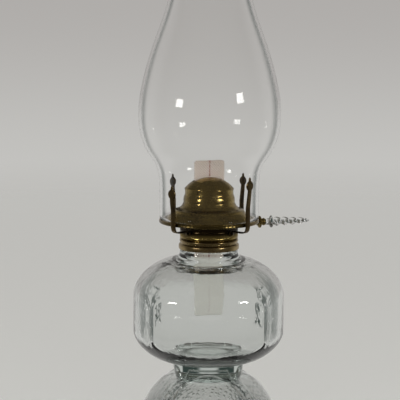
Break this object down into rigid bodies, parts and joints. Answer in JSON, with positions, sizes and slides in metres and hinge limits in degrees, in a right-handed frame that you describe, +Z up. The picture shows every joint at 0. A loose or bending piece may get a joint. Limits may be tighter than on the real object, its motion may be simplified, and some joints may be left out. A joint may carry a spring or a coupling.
{
  "type": "oil lamp",
  "caption": "Table oil lamp: four-panelled clear glass font on a lobed pedestal, brass flat-wick burner with spring prongs, glass chimney and a winder with a glass finial.",
  "frame": {"origin": "on the lamp's vertical axis, at the level of the surface that the foot stands on", "axes": "+Z up along the lamp's axis; -Y towards the front, square to one glass panel; the winder knob points 15 degrees behind +X"},
  "size_m": [0.1396, 0.122, 0.4521],
  "materials": {
    "pressed_glass": "clear thick pressed glass, grey-green at its edges",
    "chimney_glass": "clear thin blown glass",
    "crystal": "clear twisted glass",
    "antique_brass": "dull antique brass, worn bright on edges",
    "collar_brass": "brighter spun brass",
    "spring_brass": "dark aged spring brass",
    "winder_steel": "plain steel",
    "plaster": "set plaster",
    "cotton": "flat woven cotton with a dark red centre line"
  },
  "bodies": {
    "lamp": {"pedestal": "pressed_glass", "font": "pressed_glass", "collar": "collar_brass", "collar_plaster": "plaster"},
    "burner": {"screw_shell": "antique_brass", "base_plate": "antique_brass", "basket": "antique_brass", "gallery": "antique_brass", "wick_tube": "antique_brass", "vent_tube": "antique_brass", "winder_housing": "antique_brass", "shaft_bush": "antique_brass", "prong_rivet_1": "antique_brass", "prong_rivet_2": "antique_brass", "prong_rivet_3": "antique_brass", "prong_rivet_4": "antique_brass"},
    "winder": {"winder_shaft": "winder_steel", "spur_wheel_1": "winder_steel", "spur_wheel_2": "winder_steel", "spur_wheel_3": "winder_steel", "knob_ferrule": "antique_brass", "knob_crystal": "crystal"},
    "wick": {"wick": "cotton"},
    "cone": {"cone": "antique_brass"},
    "chimney": {"chimney": "chimney_glass"},
    "prong_1": {"prong_1": "spring_brass"},
    "prong_2": {"prong_2": "spring_brass"},
    "prong_3": {"prong_3": "spring_brass"},
    "prong_4": {"prong_4": "spring_brass"}
  },
  "joints": [
    {"name": "burner_lift", "type": "slide", "parent": "lamp", "child": "burner", "axis": [0, 0, 1], "range_m": [0, 0.1]},
    {"name": "chimney_lift", "type": "slide", "parent": "burner", "child": "chimney", "axis": [0, 0, 1], "range_m": [0, 0.08]},
    {"name": "cone_lift", "type": "slide", "parent": "burner", "child": "cone", "axis": [0, 0, 1], "range_m": [0, 0.05]},
    {"name": "knob_turn", "type": "hinge", "parent": "burner", "child": "winder", "pos_m": [-0.00144, 0.00536, 0.1931], "axis": [-0.9659, -0.2588, 0], "range_deg": [-240, 165]},
    {"name": "wick_feed", "type": "slide", "parent": "burner", "child": "wick", "axis": [0, 0, 1], "range_m": [-0.018, 0.0125]},
    {"name": "prong_1_flex", "type": "hinge", "parent": "burner", "child": "prong_1", "pos_m": [0.01579, 0.01693, 0.1903], "axis": [-0.7314, 0.682, 0], "range_deg": [0, 4], "stiffness_Nm_per_rad": 0.4},
    {"name": "prong_2_flex", "type": "hinge", "parent": "burner", "child": "prong_2", "pos_m": [-0.01693, 0.01579, 0.1903], "axis": [-0.682, -0.7314, 0], "range_deg": [0, 4], "stiffness_Nm_per_rad": 0.4},
    {"name": "prong_3_flex", "type": "hinge", "parent": "burner", "child": "prong_3", "pos_m": [-0.01579, -0.01693, 0.1903], "axis": [0.7314, -0.682, 0], "range_deg": [0, 4], "stiffness_Nm_per_rad": 0.4},
    {"name": "prong_4_flex", "type": "hinge", "parent": "burner", "child": "prong_4", "pos_m": [0.01693, -0.01579, 0.1903], "axis": [0.682, 0.7314, 0], "range_deg": [0, 4], "stiffness_Nm_per_rad": 0.4}
  ],
  "couplings": [
    {"joint": "wick_feed", "follows": "knob_turn", "m_per_rad": 0.00425}
  ]
}
